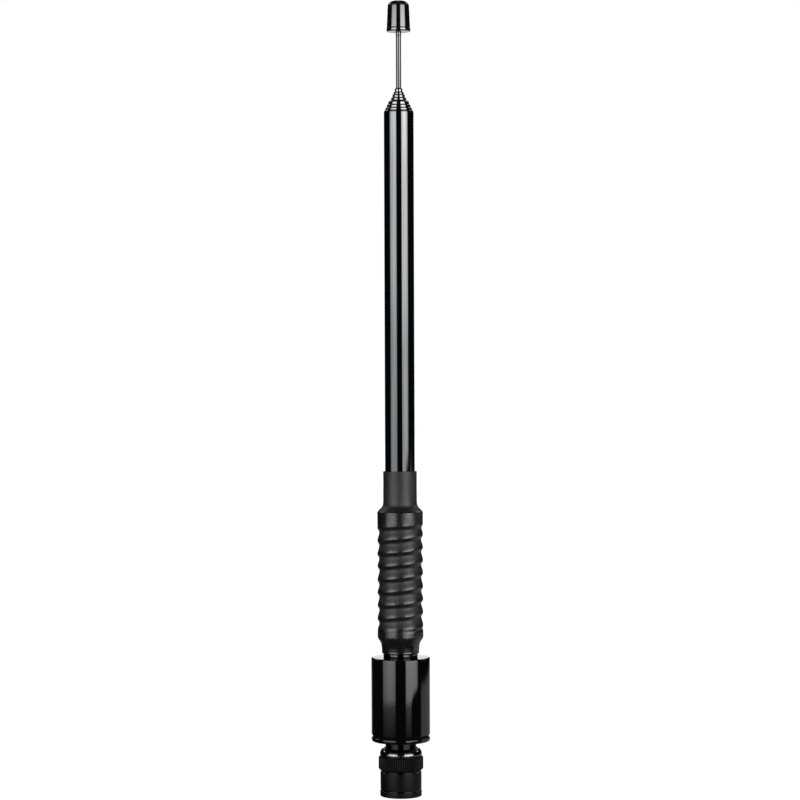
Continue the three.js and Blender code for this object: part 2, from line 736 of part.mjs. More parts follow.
const lastBore = MAST_TUBES[MAST_TUBES.length - 1].diameter / 2 - TUBE_WALL;
const rodContact = contactSpring(ROD_R, lastBore, ROD_BOTTOM + BELL_HEIGHT, ROD_CONTACT_LENGTH);
add('tip_rod', tipRod(), BLACK_CHROME);
add('tip_contact', rodContact, BRASS);
add('tip_cap', tipCap(), BLACK_PLASTIC);

export default antenna;
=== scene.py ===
"""Telescopic whip antenna with a bayonet plug: meshes, materials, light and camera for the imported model."""

import json
import math

import bmesh
import bpy
from mathutils import Matrix, Vector, noise


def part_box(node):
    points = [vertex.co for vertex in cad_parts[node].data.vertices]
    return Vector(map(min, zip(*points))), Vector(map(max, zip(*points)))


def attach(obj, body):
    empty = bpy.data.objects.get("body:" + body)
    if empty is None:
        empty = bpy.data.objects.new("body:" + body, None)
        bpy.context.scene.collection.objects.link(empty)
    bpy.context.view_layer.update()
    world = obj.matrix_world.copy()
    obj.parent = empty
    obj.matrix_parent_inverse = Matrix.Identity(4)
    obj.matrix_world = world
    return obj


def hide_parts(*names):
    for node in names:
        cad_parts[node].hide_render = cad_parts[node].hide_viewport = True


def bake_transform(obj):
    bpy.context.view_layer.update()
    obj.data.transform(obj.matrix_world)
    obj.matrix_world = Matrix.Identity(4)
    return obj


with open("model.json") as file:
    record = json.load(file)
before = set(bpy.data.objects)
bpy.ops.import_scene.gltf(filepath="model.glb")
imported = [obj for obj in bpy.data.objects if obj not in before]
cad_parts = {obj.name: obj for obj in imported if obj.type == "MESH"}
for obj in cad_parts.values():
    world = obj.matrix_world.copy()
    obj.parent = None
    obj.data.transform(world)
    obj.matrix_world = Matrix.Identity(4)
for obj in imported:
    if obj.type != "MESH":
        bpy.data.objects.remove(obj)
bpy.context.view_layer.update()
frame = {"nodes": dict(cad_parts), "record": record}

MM = 0.001
TURN = 2 * math.pi


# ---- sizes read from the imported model, in metres ----

def low(node):
    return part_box(node)[0].z


def high(node):
    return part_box(node)[1].z


def radius(node):
    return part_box(node)[1].x


TUBES = [f"mast_tube_{k}" for k in range(1, 10)]
TUBE_WALL = 0.2 * MM
TUBE_R = [d * MM / 2 for d in (9.6, 8.65, 7.7, 6.75, 5.8, 4.9, 4.05, 3.3, 2.5)]
ROD_R = 0.84 * MM
FIT = 0.05 * MM


# ---- mesh helpers ----

FILLET_SHARE = 0.48                # the most of an edge that one fillet may take
WELD = 1e-7
ON_AXIS = 1e-9


def rounded(corners, steps=4):
    """A closed outline of [radius, height, fillet] corners as points, filleted corners as short curves."""
    points = []
    count = len(corners)
    for i, (r, z, fillet) in enumerate(corners):
        here = Vector((r, z))
        if fillet <= 0:
            points.append(here)
            continue
        before = Vector(corners[i - 1][:2]) - here
        after = Vector(corners[(i + 1) % count][:2]) - here
        cut = min(fillet, before.length * FILLET_SHARE, after.length * FILLET_SHARE)
        start = here + before.normalized() * cut
        end = here + after.normalized() * cut
        for k in range(steps + 1):
            t = k / steps
            points.append(start * (1 - t) ** 2 + here * 2 * t * (1 - t) + end * t ** 2)
    return points


def finish_mesh(name, bm, sharp_deg=35):
    bmesh.ops.remove_doubles(bm, verts=bm.verts, dist=WELD)
    bmesh.ops.recalc_face_normals(bm, faces=bm.faces)
    mesh = bpy.data.meshes.new(name)
    bm.to_mesh(mesh)
    bm.free()
    mesh.shade_smooth()
    mesh.set_sharp_from_angle(angle=math.radians(sharp_deg))
    piece = bpy.data.objects.new(name, mesh)
    bpy.context.scene.collection.objects.link(piece)
    return piece


def revolve(name, points, segments=96, shape=None, sharp_deg=35):
    """A closed solid of revolution about Z. shape(r, z, angle, index) may move each point."""
    bm = bmesh.new()
    rings = []
    for index, (r, z) in enumerate(points):
        around = []
        for s in range(segments):
            angle = TURN * s / segments
            rr, zz = shape(r, z, angle, index) if shape else (r, z)
            around.append(bm.verts.new((rr * math.cos(angle), rr * math.sin(angle), zz)))
        rings.append(around)
    for i, around in enumerate(rings):
        following = rings[(i + 1) % len(rings)]
        if points[i][0] < ON_AXIS and points[(i + 1) % len(points)][0] < ON_AXIS:
            continue
        for s in range(segments):
            t = (s + 1) % segments
            bm.faces.new((around[s], around[t], following[t], following[s]))
    return finish_mesh(name, bm, sharp_deg)


def paint_where(piece, material, chosen):
    """A second material on the faces whose centre (radius, height) is chosen."""
    piece.data.materials.append(material)
    for face in piece.data.polygons:
        centre = face.center
        if chosen(math.hypot(centre.x, centre.y), centre.z):
            face.material_index = len(piece.data.materials) - 1


def stand_for(piece, node, body, material, slot):
    """The piece rides on the body, takes the material, and stands for the CAD node."""
    piece.data.materials.clear()
    piece.data.materials.append(material)
    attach(piece, body)
    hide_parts(node)


# ---- materials ----

def new_material(name, color, roughness, metallic=0.0):
    material = bpy.data.materials.new(name)
    material.use_nodes = True
    shader = material.node_tree.nodes["Principled BSDF"]
    shader.inputs["Base Color"].default_value = (*color, 1)
    shader.inputs["Roughness"].default_value = roughness
    shader.inputs["Metallic"].default_value = metallic
    return material, shader


def node(owner, kind, **values):
    """A node in the tree of a material or of the world."""
    made = owner.node_tree.nodes.new(kind)
    for key, value in values.items():
        setattr(made, key, value)
    return made


def link(owner, source, target):
    owner.node_tree.links.new(source, target)


def combine(owner, operation, a, b=0.0):
    """Two numbers or outputs through one Math node."""
    made = node(owner, "ShaderNodeMath", operation=operation)
    for socket, value in zip(made.inputs, (a, b)):
        if isinstance(value, (int, float)):
            socket.default_value = value
        else:
            link(owner, value, socket)
    return made.outputs[0]


def grey_ramp(owner, value, stops):
    """A level for each value from 0 to 1, by straight lines between (value, level) stops."""
    made = node(owner, "ShaderNodeValToRGB")
    elements = made.color_ramp.elements
    while len(elements) < len(stops):
        elements.new(0.5)
    for element, (position, level) in zip(elements, stops):
        element.position = position
        element.color = (level, level, level, 1)
    link(owner, value, made.inputs["Fac"])
    return made.outputs["Color"]


def split_axes(owner, vector):
    parts = node(owner, "ShaderNodeSeparateXYZ")
    link(owner, vector, parts.inputs[0])
    return parts.outputs


def object_coords(material, scale):
    """Object coordinates in millimetres, stretched by scale."""
    coords = node(material, "ShaderNodeTexCoord")
    mapping = node(material, "ShaderNodeMapping")
    mapping.inputs["Scale"].default_value = [s / MM for s in scale]
    link(material, coords.outputs["Object"], mapping.inputs["Vector"])
    return mapping.outputs["Vector"]


def noise_of(material, vector, scale=1.0, detail=4.0, rough=0.55):
    texture = node(material, "ShaderNodeTexNoise")
    texture.inputs["Scale"].default_value = scale
    texture.inputs["Detail"].default_value = detail
    texture.inputs["Roughness"].default_value = rough
    link(material, vector, texture.inputs["Vector"])
    return texture.outputs["Fac"]


NOISE_RANGE = (0.3, 0.7)           # where nearly all of a noise texture's values lie


def spread(material, value, low_value, high_value, low_in=NOISE_RANGE[0], high_in=NOISE_RANGE[1]):
    """A value mapped from one range onto another, and held at its ends."""
    ranged = node(material, "ShaderNodeMapRange")
    ranged.inputs["From Min"].default_value = low_in
    ranged.inputs["From Max"].default_value = high_in
    ranged.inputs["To Min"].default_value = low_value
    ranged.inputs["To Max"].default_value = high_value
    link(material, value, ranged.inputs["Value"])
    return ranged.outputs["Result"]


def tinted(material, value, dark, light):
    """A colour between dark and light by a noise value."""
    ramp = node(material, "ShaderNodeValToRGB")
    for element, position, color in zip(ramp.color_ramp.elements, NOISE_RANGE, (dark, light)):
        element.position = position
        element.color = (*color, 1)
    link(material, value, ramp.inputs["Fac"])
    return ramp.outputs["Color"]


def bumped(material, target, value, distance_mm, strength=1.0):
    """A bump by value into the target node's normal. The bump node returned can take another under it."""
    bump = node(material, "ShaderNodeBump")
    bump.inputs["Strength"].default_value = strength
    bump.inputs["Distance"].default_value = distance_mm * MM
    link(material, value, bump.inputs["Height"])
    link(material, bump.outputs["Normal"], target.inputs["Normal"])
    return bump


def plated(name, dark, light, rough_low, rough_high, streak=0.004, along=0.03):
    """Polished plating with faint drawn streaks along the mast and light handling marks."""
    material, shader = new_material(name, light, rough_low, 1.0)
    streaks = noise_of(material, object_coords(material, (2.2, 2.2, along)), 1.0, 3.0)
    blotches = noise_of(material, object_coords(material, (0.35, 0.35, 0.12)), 1.0, 5.0, 0.6)
    link(material, tinted(material, streaks, dark, light), shader.inputs["Base Color"])
    link(material, spread(material, blotches, rough_low, rough_high), shader.inputs["Roughness"])
    bumped(material, shader, streaks, streak)
    return material


def painted(name, dark, light, rough_low, rough_high, grain, depth, level=0.5, ior=1.5):
    """A dark coating with a fine grain in its colour, gloss and surface."""
    material, shader = new_material(name, light, rough_low)
    shader.inputs["Specular IOR Level"].default_value = level
    shader.inputs["IOR"].default_value = ior
    fine = noise_of(material, object_coords(material, (grain, grain, grain)), 1.0, 4.0)
    broad = noise_of(material, object_coords(material, (0.3, 0.3, 0.1)), 1.0, 4.0)
    link(material, tinted(material, broad, dark, light), shader.inputs["Base Color"])
    link(material, spread(material, broad, rough_low, rough_high), shader.inputs["Roughness"])
    bumped(material, shader, fine, depth)
    return material


RIB_PITCH = 4.2 * MM
RIB_PHASE = 67.9 * MM              # height of a ridge on +X
RIB_ZONE = (53.2 * MM, 88.2 * MM)
RIB_FADE_IN = 2.6 * MM             # how far up from the zone's start the ribs reach their full depth
RIB_FADE_OUT = 1.8 * MM
RIB_GLOSS = (                      # place from one ridge to the next one below, and how much rougher it is
    (0.0, 0.0), (0.14, 0.04), (0.3, 0.24), (0.62, 0.24), (0.86, 0.1), (1.0, 0.0))
RUBBER_ROUGHNESS = (0.21, 0.31)
COLLAR_START, COLLAR_END, COLLAR_EXTRA = 92.0 * MM, 92.6 * MM, 0.24
FOOT_START, FOOT_END, FOOT_EXTRA = 49.2 * MM, 51.0 * MM, -0.1


def shrunk_rubber():
    """Heat-shrunk rubber: satin where it is stretched over the spring, duller and dented on the collar."""
    material, shader = new_material("shrunk_rubber", (0.006, 0.006, 0.0064), 0.32)
    shader.inputs["Specular IOR Level"].default_value = 1.0
    shader.inputs["IOR"].default_value = 1.7
    grain = noise_of(material, object_coords(material, (3.2, 3.2, 2.6)), 1.0, 5.0, 0.6)
    dents = noise_of(material, object_coords(material, (0.42, 0.42, 0.2)), 1.0, 3.0, 0.5)
    color = tinted(material, dents, (0.0045, 0.0045, 0.0048), (0.009, 0.009, 0.0095))
    link(material, color, shader.inputs["Base Color"])

    coords = node(material, "ShaderNodeTexCoord")
    x, y, height = split_axes(material, coords.outputs["Object"])
    collar = spread(material, height, 0.0, COLLAR_EXTRA, COLLAR_START, COLLAR_END)
    foot = spread(material, height, FOOT_EXTRA, 0.0, FOOT_START, FOOT_END)
    above = spread(material, height, 0.0, 1.0, RIB_ZONE[0], RIB_ZONE[0] + RIB_FADE_IN)
    below = spread(material, height, 1.0, 0.0, RIB_ZONE[1] - RIB_FADE_OUT, RIB_ZONE[1])

    angle = combine(material, "DIVIDE", combine(material, "ARCTAN2", y, x), TURN)
    fall = combine(material, "DIVIDE", combine(material, "SUBTRACT", RIB_PHASE, height), RIB_PITCH)
    place = combine(material, "FRACT", combine(material, "ADD", fall, angle))
    zone = combine(material, "MULTIPLY", above, below)
    ribs = combine(material, "MULTIPLY", grey_ramp(material, place, RIB_GLOSS), zone)
    roughness = spread(material, grain, *RUBBER_ROUGHNESS)
    for change in (collar, foot, ribs):
        roughness = combine(material, "ADD", roughness, change)
    link(material, roughness, shader.inputs["Roughness"])

    fine = bumped(material, shader, grain, 0.03)
    bumped(material, fine, dents, 0.25, 0.6)
    return material


BLACK_CHROME = plated("black_chrome", (0.165, 0.17, 0.175), (0.245, 0.25, 0.255), 0.05, 0.09)
INNER_CHROME = plated("inner_chrome", (0.24, 0.245, 0.25), (0.34, 0.345, 0.35), 0.04, 0.08)
DARK_CHROME = plated("dark_chrome", (0.02, 0.02, 0.021), (0.036, 0.036, 0.037), 0.06, 0.12)
DOME_CHROME = plated("dome_chrome", (0.26, 0.26, 0.265), (0.36, 0.36, 0.365), 0.05, 0.1)
GROOVE_CHROME = plated("groove_chrome", (0.06, 0.06, 0.062), (0.1, 0.1, 0.102), 0.1, 0.18)
# Painted shade: a matte black with almost no reflection for the seam groove between the housing and its base
# disc, standing in for the shadow in the gap.
SEAM_PAINTED_SHADE = painted(
    "seam_painted_shade", (0.0008, 0.0008, 0.0008), (0.0014, 0.0014, 0.0014), 0.6, 0.75, 3.0, 0.004, 0.1)
ROD_CHROME = plated("rod_chrome", (0.17, 0.17, 0.175), (0.22, 0.22, 0.225), 0.04, 0.08, 0.001, 0.1)
HOUSING_PAINT = painted(
    "housing_paint", (0.001, 0.001, 0.001), (0.002, 0.002, 0.002), 0.03, 0.06, 1.5, 0.005, 0.75, 1.7)
PLUG_PLATING = painted(
    "plug_plating", (0.002, 0.002, 0.002), (0.004, 0.004, 0.004), 0.34, 0.46, 6.0, 0.006, 0.3)
CAP_PLASTIC = painted(
    "cap_plastic", (0.001, 0.001, 0.001), (0.002, 0.002, 0.002), 0.05, 0.1, 1.2, 0.003, 1.0, 2.1)
SHRINK_RUBBER = shrunk_rubber()
BRIGHT_STEEL = plated("bright_steel", (0.5, 0.5, 0.5), (0.62, 0.62, 0.63), 0.22, 0.35, 0.002, 1.0)
BRASS = plated("machined_brass", (0.55, 0.4, 0.17), (0.72, 0.55, 0.27), 0.2, 0.34, 0.002, 1.0)
GOLD = plated("gold_plating", (0.78, 0.56, 0.2), (0.92, 0.7, 0.3), 0.12, 0.22, 0.001, 1.0)
COPPER = plated("enamelled_copper", (0.5, 0.19, 0.07), (0.68, 0.28, 0.12), 0.2, 0.3, 0.002, 1.0)
WHITE_POLYMER = painted(
    "white_polymer", (0.74, 0.73, 0.7), (0.82, 0.81, 0.79), 0.42, 0.55, 3.0, 0.004)
TAN_POLYMER = painted("tan_polymer", (0.3, 0.23, 0.13), (0.36, 0.28, 0.17), 0.45, 0.6, 3.0, 0.006)
RED_SILICONE = painted("red_silicone", (0.24, 0.045, 0.03), (0.31, 0.06, 0.04), 0.5, 0.65, 4.0, 0.006)

SLOT_MATERIALS = {
    "black_chrome": BLACK_CHROME,
    "housing_black": HOUSING_PAINT,
    "plug_black": PLUG_PLATING,
    "cap_black": CAP_PLASTIC,
    "shrink_rubber": SHRINK_RUBBER,
    "spring_steel": BRIGHT_STEEL,
    "brass": BRASS,
    "gold": GOLD,
    "copper": COPPER,
    "ptfe": WHITE_POLYMER,
    "former_plastic": TAN_POLYMER,
    "silicone": RED_SILICONE,
}


def finish_cad_nodes():
    """Every CAD node that stays gets its slot's material."""
    for part in frame["record"]["subparts"]:
        mesh = frame["nodes"][part["node"]].data
        mesh.materials.clear()
        mesh.materials.append(SLOT_MATERIALS[part["material_slot"]])


# ---- mast ----

BELL_HEIGHT = 0.9 * MM
OUTER_RIM = 0.85 * MM              # height of the rolled mouth of the outer tube
INNER_RIM = 0.56 * MM
LIP = 0.04 * MM                    # flat land left round the mouth
RIM_STEPS = 7


def mast_tube(index):
    """A drawn tube with a belled foot and a mouth swaged in over the next section."""
    name = TUBES[index]
    outer = TUBE_R[index]
    bore = outer - TUBE_WALL
    inner = TUBE_R[index + 1] if index + 1 < len(TUBE_R) else ROD_R
    mouth = inner + FIT
    bottom, top = low(name), high(name)
    corners = [[bore, bottom, 0]]
    if index == 0:
        corners += [[outer, bottom, 0.05 * MM]]
    else:
        bell = TUBE_R[index - 1] - TUBE_WALL - FIT
        shoulder = bottom + BELL_HEIGHT
        corners += [[bell, bottom, 0.05 * MM], [bell, shoulder, 0.08 * MM], [outer, shoulder + 0.1 * MM, 0]]
    rim = OUTER_RIM if index == 0 else INNER_RIM
    lip = mouth + LIP
    for k in range(RIM_STEPS + 1):
        turn = TURN / 4 * k / RIM_STEPS
        corners.append([lip + (outer - lip) * math.cos(turn), top - rim + rim * math.sin(turn), 0])
    corners += [[mouth, top - 0.06 * MM, 0], [mouth, top - 0.6 * MM, 0.1 * MM], [bore, top - 1.4 * MM, 0]]
    return revolve(f"tube_{index + 1}", rounded(corners, 5))


def build_mast():
    for index, name in enumerate(TUBES):
        piece = mast_tube(index)
        material = BLACK_CHROME if index == 0 else INNER_CHROME
        stand_for(piece, name, f"mast_{index + 1}", material, "black_chrome")


ROD_HEAD = 0.96 * MM
CAP_BORE_DEPTH = 6.5 * MM
CAP_CROWN = (                      # radius and drop below the top, in mm
    (3.45, 2.0), (3.42, 1.65), (3.33, 1.35), (3.15, 1.02), (2.8, 0.7), (2.36, 0.42), (1.8, 0.2), (1.0, 0.05),
    (0, 0))


def build_tip():
    bottom, top = low("tip_rod"), high("tip_rod")
    cap_bottom = low("tip_cap")
    corners = [
        [0, bottom, 0],
        [ROD_HEAD, bottom, 0.1 * MM],
        [ROD_HEAD, bottom + BELL_HEIGHT, 0.1 * MM],
        [ROD_R, bottom + BELL_HEIGHT + 0.1 * MM, 0],
        [ROD_R, cap_bottom - 1.6 * MM, 0.3 * MM],
        [ROD_R + 0.06 * MM, cap_bottom - 0.9 * MM, 0.3 * MM],
        [ROD_R + 0.04 * MM, top, 0],
        [0, top, 0],
    ]
    rod = revolve("rod", rounded(corners), 48)
    stand_for(rod, "tip_rod", "tip", ROD_CHROME, "black_chrome")

    bottom, top = low("tip_cap"), high("tip_cap")
    base, bore = radius("tip_cap"), ROD_R + FIT
    corners = [
        [bore, bottom, 0],
        [base - 0.12 * MM, bottom, 0.1 * MM],
        [base, bottom + 0.3 * MM, 0.2 * MM],
        [base - 0.02 * MM, bottom + 0.95 * MM, 0.1 * MM],
        [base - 0.12 * MM, bottom + 1.25 * MM, 0.08 * MM],
    ]
    corners += [[r * MM, top - drop * MM, 0] for r, drop in CAP_CROWN]
    corners += [[0, bottom + CAP_BORE_DEPTH, 0], [bore, bottom + CAP_BORE_DEPTH, 0]]
    cap = revolve("cap", rounded(corners, 8))
    stand_for(cap, "tip_cap", "tip", CAP_PLASTIC, "cap_black")


# ---- sleeve over the spring ----

RIB_DEPTH = 0.58 * MM
RIB_GROOVE = 0.32                  # the groove's place between a ridge and the next one below
SLEEVE_ROWS = 0.22 * MM            # height of one ring of faces
SLEEVE_WALL = 0.42 * MM
SLEEVE_BORE = 5.6 * MM
COLLAR_BORE = 4.87 * MM
SHOULDER = (90 * MM, 94.5 * MM)    # where the outline keeps its own corners
LINED = (52 * MM, 90.9 * MM)       # where the inside follows the ribs
SLEEVE_OUTLINE = (                 # height and radius in mm: foot, body, flared shoulder and collar
    (46.3, 6.08), (46.6, 6.05), (46.9, 6.02), (48.3, 6.12), (49.2, 6.24), (49.7, 6.4), (50.3, 6.75),
    (50.9, 7.15), (51.3, 7.36), (51.8, 7.42), (54.2, 7.4), (88.0, 7.36), (91.2, 7.38), (91.7, 7.4),
    (91.95, 7.38), (92.1, 7.3), (92.3, 7.14), (92.6, 6.9), (92.95, 6.55), (93.25, 6.24), (93.55, 5.96),
    (93.9, 5.73), (94.4, 5.55), (95.2, 5.46), (98.0, 5.43), (102.0, 5.42), (105.2, 5.45))


def smooth(edge0, edge1, value):
    t = min(1.0, max(0.0, (value - edge0) / (edge1 - edge0)))
    return t * t * (3 - 2 * t)


def radius_at(profile, z):
    for (z0, r0), (z1, r1) in zip(profile, profile[1:]):
        if z <= z1:
            return r0 + (r1 - r0) * max(0.0, z - z0) / (z1 - z0)
    return profile[-1][1]


def rib_drop(z, angle):
    """How far the sleeve sinks between the spring's turns: quickly below a turn, slowly above the next."""
    wobble = 0.22 * MM * noise.noise(Vector((math.cos(angle), math.sin(angle), z / (6 * MM))) * 1.1)
    below = (RIB_PHASE - z - wobble) / RIB_PITCH + angle / TURN
    below -= math.floor(below)
    phase = below / RIB_GROOVE if below < RIB_GROOVE else 1 + (below - RIB_GROOVE) / (1 - RIB_GROOVE)
    wave = 0.5 - 0.5 * math.cos(math.pi * phase)
    zone = smooth(RIB_ZONE[0], RIB_ZONE[0] + RIB_FADE_IN, z)
    zone *= 1 - smooth(RIB_ZONE[1] - RIB_FADE_OUT, RIB_ZONE[1], z)
    uneven = 1 + 0.25 * noise.noise(Vector((2 * math.cos(angle), 2 * math.sin(angle), z / (5 * MM) + 7)))
    return RIB_DEPTH * zone * uneven * wave


def build_sleeve():
    bottom, top = low("shrink_sleeve"), high("shrink_sleeve")
    profile = [(z * MM, r * MM) for z, r in SLEEVE_OUTLINE]
    rows = int((top - bottom) / SLEEVE_ROWS)
    heights = [bottom + (top - bottom) * k / rows for k in range(rows + 1)]
    own = [z for z, _ in profile if SHOULDER[0] < z < SHOULDER[1]]
    heights = sorted([z for z in heights if all(abs(z - c) > 0.08 * MM for c in own)] + own)
    outer = [(radius_at(profile, z), z) for z in heights]
    collar_lining = [
        (COLLAR_BORE + 0.12 * MM, top + 0.01 * MM),
        (COLLAR_BORE, top - 0.1 * MM),
        (COLLAR_BORE, 93.1 * MM),
    ]
    lined = [z for z in reversed(heights) if LINED[0] < z < LINED[1]]
    lining = [(radius_at(profile, z) - SLEEVE_WALL, z) for z in lined]
    foot_lining = [
        (SLEEVE_BORE, 49.7 * MM),
        (SLEEVE_BORE, bottom + 0.1 * MM),
        (SLEEVE_BORE + 0.1 * MM, bottom),
    ]
    skin = len(outer)
    ribbed = range(skin + len(collar_lining), skin + len(collar_lining) + len(lining))

    def shape(r, z, angle, index):
        """Ribs inside and out, a slightly uneven skin, and ends that aren't cut quite square."""
        around = Vector((math.cos(angle), math.sin(angle), 0))
        if index < skin or index in ribbed:
            r -= rib_drop(z, angle)
        if index < skin:
            r += 0.035 * MM * noise.noise(around * 2.0 + Vector((0, 0, z / (4 * MM))))
        if index == 0:
            r -= 0.08 * MM
        if z > top - 0.3 * MM:
            z += 0.16 * MM * (noise.noise(around * 1.6 + Vector((3, 1, 0))) - 0.5)
        if z < bottom + 0.3 * MM:
            z += 0.06 * MM * (noise.noise(around * 1.8 + Vector((5, 2, 0))) + 0.4)
        return r, z

    sleeve = revolve("sleeve", outer + collar_lining + lining + foot_lining, 144, shape, 50)
    sleeve.data.materials.append(SHRINK_RUBBER)
    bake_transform(sleeve)
    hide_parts("shrink_sleeve")


# ---- spring and braid inside the sleeve ----

SPRING_WIRE_R = 1.2 * MM
SPRING_TURNS = 7.3
SPRING_START = 55.3 * MM
BRAID_STRANDS = 6
BRAID_TURNS = 1.5
BRAID_WIRE_R = 0.15 * MM
BRAID_CORE = (0.45 * MM, 0.95 * MM)
CORE_SIDES = 24


def strand(bm, point_at, count, wire_radius, sides):
    """A closed round wire along the points point_at(0 to 1)."""
    points = [point_at(k / count) for k in range(count + 1)]
    loops = []
    for k, here in enumerate(points):
        along = (points[min(k + 1, count)] - points[max(k - 1, 0)]).normalized()
        outward = Vector((here.x, here.y, 0)).normalized()
        side = along.cross(outward).normalized()
        outward = side.cross(along)
        loop = []
        for s in range(sides):
            angle = TURN * s / sides
            offset = math.cos(angle) * outward + math.sin(angle) * side
            loop.append(bm.verts.new(here + wire_radius * offset))
        loops.append(loop)
    for here, following in zip(loops, loops[1:]):
        for s in range(sides):
            t = (s + 1) % sides
            bm.faces.new((here[s], here[t], following[t], following[s]))
    bm.faces.new(list(reversed(loops[0])))
    bm.faces.new(loops[-1])


def bend_with_spring(piece, node_name, material):
    piece.data.materials.append(material)
    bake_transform(piece)
    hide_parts(node_name)


def build_spring():
    coil = radius("flex_spring") - SPRING_WIRE_R
    rise = SPRING_TURNS * RIB_PITCH

    def point_at(t):
        angle = TURN * SPRING_TURNS * t
        return Vector((coil * math.cos(angle), coil * math.sin(angle), SPRING_START + rise * t))

    bm = bmesh.new()
    strand(bm, point_at, int(SPRING_TURNS * 40), SPRING_WIRE_R, 12)
    bend_with_spring(finish_mesh("spring", bm, 60), "flex_spring", BRIGHT_STEEL)


def braid_strand(hand, start):
    """A path along the braid, one hand winding over and under the other."""
    outer = radius("bonding_braid") - BRAID_WIRE_R * 1.35
    lift = BRAID_WIRE_R * 0.35
    bottom = low("bonding_braid") + BRAID_WIRE_R
    rise = high("bonding_braid") - BRAID_WIRE_R - bottom

    def point_at(t):
        angle = start + hand * TURN * BRAID_TURNS * t
        weave = outer + hand * lift * math.cos(BRAID_STRANDS * TURN * BRAID_TURNS * t)
        return Vector((weave * math.cos(angle), weave * math.sin(angle), bottom + rise * t))
    return point_at


def build_braid():
    bm = bmesh.new()
    for hand in (1, -1):
        for k in range(BRAID_STRANDS):
            start = TURN * (k + 0.25 * (1 + hand)) / BRAID_STRANDS
            strand(bm, braid_strand(hand, start), 160, BRAID_WIRE_R, 6)
    bottom, top = low("bonding_braid"), high("bonding_braid")
    inner, outer = BRAID_CORE
    rings = []
    for r, z in ((inner, bottom), (outer, bottom), (outer, top), (inner, top)):
        angles = [TURN * s / CORE_SIDES for s in range(CORE_SIDES)]
        rings.append([bm.verts.new((r * math.cos(angle), r * math.sin(angle), z)) for angle in angles])
    for here, following in zip(rings, rings[1:] + rings[:1]):
        for s in range(CORE_SIDES):
            t = (s + 1) % CORE_SIDES
            bm.faces.new((here[s], here[t], following[t], following[s]))
    bend_with_spring(finish_mesh("braid", bm, 60), "bonding_braid", COPPER)


# ---- coil housing and stud ----

HOUSING_BORE = 7.9 * MM
HOUSING_ROOF = 2.5 * MM
SEAM_R = 9.1 * MM                  # floor of the groove between the housing and its base disc
PLUG_HOLE_R = 4.05 * MM            # the hole in the base disc for the plug's shank
STUD_SHANK_R = 3.0 * MM
STUD_COLLAR_R = 5.55 * MM
STUD_HEAD_R = 6.75 * MM
STUD_HEAD_TOP = 53.9 * MM
STUD_PEG_R = 4.05 * MM             # the peg that the spring sits round
STUD_BAND = (45.7 * MM, 46.05 * MM)


def build_housing():
    bottom, top = low("coil_housing"), high("coil_housing")
    outer = radius("coil_housing")
    stud_hole = STUD_SHANK_R + FIT
    corners = [
        [HOUSING_BORE, bottom, 0],
        [outer - 0.25 * MM, bottom, 0.1 * MM],
        [outer, bottom + 0.2 * MM, 0.1 * MM],
        [outer, top - 0.2 * MM, 0.15 * MM],
        [outer - 0.25 * MM, top, 0.15 * MM],
        [stud_hole, top, 0],
        [stud_hole, top - HOUSING_ROOF, 0],
        [HOUSING_BORE, top - HOUSING_ROOF, 0.3 * MM],
    ]
    housing = revolve("housing", rounded(corners), 160)
    stand_for(housing, "coil_housing", "base", HOUSING_PAINT, "housing_black")

    base_low, base_high = low("housing_base"), high("housing_base")
    rim = base_low + 1.4 * MM
    seam = bottom - FIT
    corners = [
        [PLUG_HOLE_R, base_low, 0],
        [outer - 0.35 * MM, base_low, 0.2 * MM],
        [outer, base_low + 0.35 * MM, 0.25 * MM],
        [outer, rim - 0.12 * MM, 0.1 * MM],
        [outer - 0.15 * MM, rim, 0.05 * MM],
        [SEAM_R, rim, 0],
        [SEAM_R, seam, 0],
        [HOUSING_BORE - FIT, seam, 0],
        [HOUSING_BORE - FIT, base_high, 0.3 * MM],
        [PLUG_HOLE_R, base_high, 0],
    ]
    disc = revolve("base_disc", rounded(corners), 160)
    stand_for(disc, "housing_base", "base", HOUSING_PAINT, "housing_black")
    # Painted shade: the seam groove's faces take the matte, barely reflective black that stands in for the
    # shadow in the gap.
    paint_where(disc, SEAM_PAINTED_SHADE, lambda r, z: rim + 0.02 * MM < z < seam + 0.1 * MM and r > HOUSING_BORE)

    stud_low, stud_high = low("whip_stud"), high("whip_stud")
    corners = [
        [0, stud_low, 0],
        [STUD_SHANK_R, stud_low, 0.3 * MM],
        [STUD_SHANK_R, top + FIT, 0],
        [STUD_COLLAR_R, top + FIT, 0.15 * MM],
        [STUD_COLLAR_R, STUD_BAND[0], 0],
        [STUD_COLLAR_R, STUD_BAND[1], 0],
        [STUD_COLLAR_R, 49.8 * MM, 0],
        [STUD_HEAD_R, 51.4 * MM, 0.3 * MM],
        [STUD_HEAD_R, STUD_HEAD_TOP, 0.2 * MM],
        [STUD_PEG_R, STUD_HEAD_TOP, 0],
        [STUD_PEG_R, stud_high, 0.3 * MM],
        [0, stud_high, 0],
    ]
    stud = revolve("stud", rounded(corners))
    stand_for(stud, "whip_stud", "base", DARK_CHROME, "black_chrome")
    paint_where(stud, BLACK_CHROME, lambda r, z: STUD_BAND[0] < z < STUD_BAND[1])


# ---- plug ----

KNURL_RIDGES = 56
KNURL_SAMPLES = 6
KNURL_DEPTH = 0.34 * MM
NUT_GROOVES = ((1.76 * MM, 2.24 * MM), (7.78 * MM, 8.3 * MM))
DOME = (5.1 * MM, 13.32 * MM)      # beyond this radius and above this height the nut is bright
SLOT_STEPS = 18
SLOT_END_STEPS = 8
SLOT_STRIPS = 4


